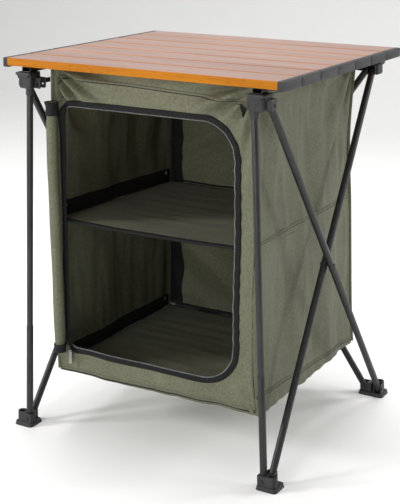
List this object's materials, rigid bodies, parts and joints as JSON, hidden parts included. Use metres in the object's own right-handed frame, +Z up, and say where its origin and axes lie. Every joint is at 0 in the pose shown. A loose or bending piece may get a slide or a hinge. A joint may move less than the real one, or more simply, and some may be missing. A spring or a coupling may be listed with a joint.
{
  "type": "chuck box",
  "caption": "Folding camp kitchen cabinet: roll-up slatted top on a crossed-pole frame, with a zipped cloth cabinet and shelf hung inside.",
  "frame": {"origin": "on the ground, in the middle of the four feet", "axes": "+Z up, -Y out of the zipped front, +X to the right seen from the front"},
  "size_m": [0.6232, 0.559, 0.77],
  "materials": {
    "slat_laminate": "satin",
    "black_plastic": "matt",
    "rail_metal": "black anodised",
    "frame_tube": "satin powder coat",
    "rivet_steel": "polished",
    "olive_cloth": "coated polyester",
    "black_webbing": "woven",
    "zip_black": "coil zip",
    "zip_metal": "satin",
    "pull_light": "gloss"
  },
  "bodies": {
    "foot_back_left": {"foot_back_left": "black_plastic", "foot_back_left_rivets": "rivet_steel"},
    "left_pole_outer": {"left_pole_outer": "frame_tube", "left_cross_rivet": "rivet_steel"},
    "left_pole_inner": {"left_pole_inner": "frame_tube"},
    "hub_front_left": {"hub_front_left": "black_plastic", "hub_front_left_rivets": "rivet_steel", "upright_upper_left": "frame_tube", "front_wall": "olive_cloth", "zip_tape": "zip_black", "door_roll": "olive_cloth", "door_roll_tapes": "black_webbing"},
    "hub_back_left": {"hub_back_left": "black_plastic", "hub_back_left_rivets": "rivet_steel", "left_wall": "olive_cloth", "back_wall": "olive_cloth", "left_webbing": "black_webbing", "back_webbing": "black_webbing"},
    "foot_front_left": {"foot_front_left": "black_plastic", "foot_front_left_rivets": "rivet_steel", "upright_lower_left": "frame_tube"},
    "back_pole_outer": {"back_pole_outer": "frame_tube", "back_cross_rivet": "rivet_steel"},
    "back_pole_inner": {"back_pole_inner": "frame_tube"},
    "hub_back_right": {"hub_back_right": "black_plastic", "hub_back_right_rivets": "rivet_steel", "right_wall": "olive_cloth", "right_webbing": "black_webbing"},
    "foot_back_right": {"foot_back_right": "black_plastic", "foot_back_right_rivets": "rivet_steel"},
    "right_pole_outer": {"right_pole_outer": "frame_tube", "right_cross_rivet": "rivet_steel"},
    "right_pole_inner": {"right_pole_inner": "frame_tube"},
    "hub_front_right": {"hub_front_right": "black_plastic", "hub_front_right_rivets": "rivet_steel", "upright_upper_right": "frame_tube"},
    "foot_front_right": {"foot_front_right": "black_plastic", "foot_front_right_rivets": "rivet_steel", "upright_lower_right": "frame_tube"},
    "floor": {"floor": "olive_cloth"},
    "shelf": {"shelf": "olive_cloth"},
    "top_frame": {"top_rails": "rail_metal", "rail_brackets": "black_plastic"},
    "zip_slider": {"zip_slider": "zip_metal"},
    "zip_pull": {"zip_pull": "pull_light"},
    "slat_1": {"slat_1": "slat_laminate", "slat_1_fittings": "black_plastic"},
    "slat_2": {"slat_2": "slat_laminate", "slat_2_fittings": "black_plastic"},
    "slat_3": {"slat_3": "slat_laminate", "slat_3_fittings": "black_plastic"},
    "slat_4": {"slat_4": "slat_laminate", "slat_4_fittings": "black_plastic"},
    "slat_5": {"slat_5": "slat_laminate", "slat_5_fittings": "black_plastic"},
    "slat_6": {"slat_6": "slat_laminate", "slat_6_fittings": "black_plastic"},
    "slat_7": {"slat_7": "slat_laminate", "slat_7_fittings": "black_plastic"}
  },
  "joints": [
    {"name": "fold", "type": "hinge", "parent": "foot_back_left", "child": "left_pole_outer", "pos_m": [-0.29838, 0.248, 0.0177], "axis": [-0.9989, 0, 0.047], "range_deg": [0, 30.5], "deforming": ["front_wall", "zip_tape", "left_wall", "right_wall", "back_wall", "left_webbing", "right_webbing", "back_webbing", "floor", "shelf"]},
    {"name": "left_cross", "type": "hinge", "parent": "left_pole_outer", "child": "left_pole_inner", "pos_m": [-0.27439, 0, 0.37006], "axis": [0.9989, 0, -0.047], "range_deg": [0, 61.2]},
    {"name": "hub_front_left_pivot", "type": "hinge", "parent": "left_pole_outer", "child": "hub_front_left", "pos_m": [-0.26518, -0.248, 0.72311], "axis": [0.9989, 0, -0.047], "range_deg": [0, 30.7]},
    {"name": "hub_back_left_pivot", "type": "hinge", "parent": "left_pole_inner", "child": "hub_back_left", "pos_m": [-0.2504, 0.248, 0.72242], "axis": [-0.9989, 0, 0.047], "range_deg": [0, 30.7]},
    {"name": "foot_front_left_pivot", "type": "hinge", "parent": "left_pole_inner", "child": "foot_front_left", "pos_m": [-0.2836, -0.248, 0.017], "axis": [-0.9989, 0, 0.047], "range_deg": [0, 30.7]},
    {"name": "back_pole_pivot", "type": "hinge", "parent": "foot_back_left", "child": "back_pole_outer", "pos_m": [-0.26422, 0.2674, 0.01609], "axis": [0, -1, 0], "range_deg": [0, 28.52]},
    {"name": "back_cross", "type": "hinge", "parent": "back_pole_outer", "child": "back_pole_inner", "pos_m": [0, 0.26, 0.39244], "axis": [0, 1, 0], "range_deg": [0, 61.82]},
    {"name": "foot_back_right_pivot", "type": "hinge", "parent": "back_pole_inner", "child": "foot_back_right", "pos_m": [0.26422, 0.2526, 0.01609], "axis": [0, -1, 0], "range_deg": [0, 28.52]},
    {"name": "right_pole_pivot", "type": "hinge", "parent": "foot_back_right", "child": "right_pole_outer", "pos_m": [0.29838, 0.248, 0.0177], "axis": [-0.9989, 0, -0.047], "range_deg": [0, 30.7]},
    {"name": "hub_front_right_pivot", "type": "hinge", "parent": "right_pole_outer", "child": "hub_front_right", "pos_m": [0.26518, -0.248, 0.72311], "axis": [0.9989, 0, 0.047], "range_deg": [0, 30.7]},
    {"name": "right_cross", "type": "hinge", "parent": "right_pole_outer", "child": "right_pole_inner", "pos_m": [0.27439, 0, 0.37006], "axis": [0.9989, 0, 0.047], "range_deg": [0, 61.2]},
    {"name": "hub_back_right_pivot", "type": "hinge", "parent": "right_pole_inner", "child": "hub_back_right", "pos_m": [0.2504, 0.248, 0.72242], "axis": [-0.9989, 0, -0.047], "range_deg": [0, 30.7]},
    {"name": "foot_front_right_pivot", "type": "hinge", "parent": "right_pole_inner", "child": "foot_front_right", "pos_m": [0.2836, -0.248, 0.017], "axis": [-0.9989, 0, -0.047], "range_deg": [0, 30.7]},
    {"name": "shelf_fold", "type": "hinge", "parent": "hub_back_left", "child": "shelf", "pos_m": [0, 0.2197, 0.4425], "axis": [1, 0, 0], "range_deg": [0, 88.2]},
    {"name": "floor_fold", "type": "hinge", "parent": "hub_back_left", "child": "floor", "pos_m": [0, 0.2157, 0.1345], "axis": [-1, 0, 0], "range_deg": [0, 88.2]},
    {"name": "top_lift", "type": "slide", "parent": "hub_back_left", "child": "top_frame", "axis": [0, 0, 1], "range_m": [0, 0.08]},
    {"name": "mat_lift", "type": "slide", "parent": "top_frame", "child": "slat_7", "axis": [0, 0, 1], "range_m": [0, 0.05]},
    {"name": "slat_roll_6", "type": "hinge", "parent": "slat_7", "child": "slat_6", "pos_m": [0, 0.19625, 0.77], "axis": [-1, 0, 0], "range_deg": [0, 50]},
    {"name": "slat_roll_5", "type": "hinge", "parent": "slat_6", "child": "slat_5", "pos_m": [0, 0.11775, 0.77], "axis": [-1, 0, 0], "range_deg": [0, 50]},
    {"name": "slat_roll_4", "type": "hinge", "parent": "slat_5", "child": "slat_4", "pos_m": [0, 0.03925, 0.77], "axis": [-1, 0, 0], "range_deg": [0, 50]},
    {"name": "slat_roll_3", "type": "hinge", "parent": "slat_4", "child": "slat_3", "pos_m": [0, -0.03925, 0.77], "axis": [-1, 0, 0], "range_deg": [0, 50]},
    {"name": "slat_roll_2", "type": "hinge", "parent": "slat_3", "child": "slat_2", "pos_m": [0, -0.11775, 0.77], "axis": [-1, 0, 0], "range_deg": [0, 50]},
    {"name": "slat_roll_1", "type": "hinge", "parent": "slat_2", "child": "slat_1", "pos_m": [0, -0.19625, 0.77], "axis": [-1, 0, 0], "range_deg": [0, 50]},
    {"name": "zip_run", "type": "slide", "parent": "hub_front_left", "child": "zip_slider", "axis": [1, 0, 0], "range_m": [0, 0.3]},
    {"name": "pull_swing", "type": "hinge", "parent": "zip_slider", "child": "zip_pull", "pos_m": [-0.189, -0.2348, 0.1738], "axis": [-1, 0, 0], "range_deg": [0, 120]}
  ],
  "couplings": [
    {"joint": "left_cross", "follows": "fold", "ratio": 2},
    {"joint": "hub_front_left_pivot", "follows": "fold", "ratio": 1},
    {"joint": "hub_back_left_pivot", "follows": "fold", "ratio": 1},
    {"joint": "foot_front_left_pivot", "follows": "fold", "ratio": 1},
    {"joint": "back_pole_pivot", "follows": "fold", "ratio": 0.92843},
    {"joint": "back_cross", "follows": "fold", "ratio": 2.0204},
    {"joint": "foot_back_right_pivot", "follows": "fold", "ratio": 0.92843},
    {"joint": "right_pole_pivot", "follows": "fold", "ratio": 1},
    {"joint": "hub_front_right_pivot", "follows": "fold", "ratio": 1},
    {"joint": "right_cross", "follows": "fold", "ratio": 2},
    {"joint": "hub_back_right_pivot", "follows": "fold", "ratio": 1},
    {"joint": "foot_front_right_pivot", "follows": "fold", "ratio": 1},
    {"joint": "shelf_fold", "follows": "fold", "ratio": 2.8852},
    {"joint": "floor_fold", "follows": "fold", "ratio": 2.8852},
    {"joint": "slat_roll_5", "follows": "slat_roll_6", "ratio": 1},
    {"joint": "slat_roll_4", "follows": "slat_roll_6", "ratio": 1},
    {"joint": "slat_roll_3", "follows": "slat_roll_6", "ratio": 1},
    {"joint": "slat_roll_2", "follows": "slat_roll_6", "ratio": 1},
    {"joint": "slat_roll_1", "follows": "slat_roll_6", "ratio": 1}
  ]
}
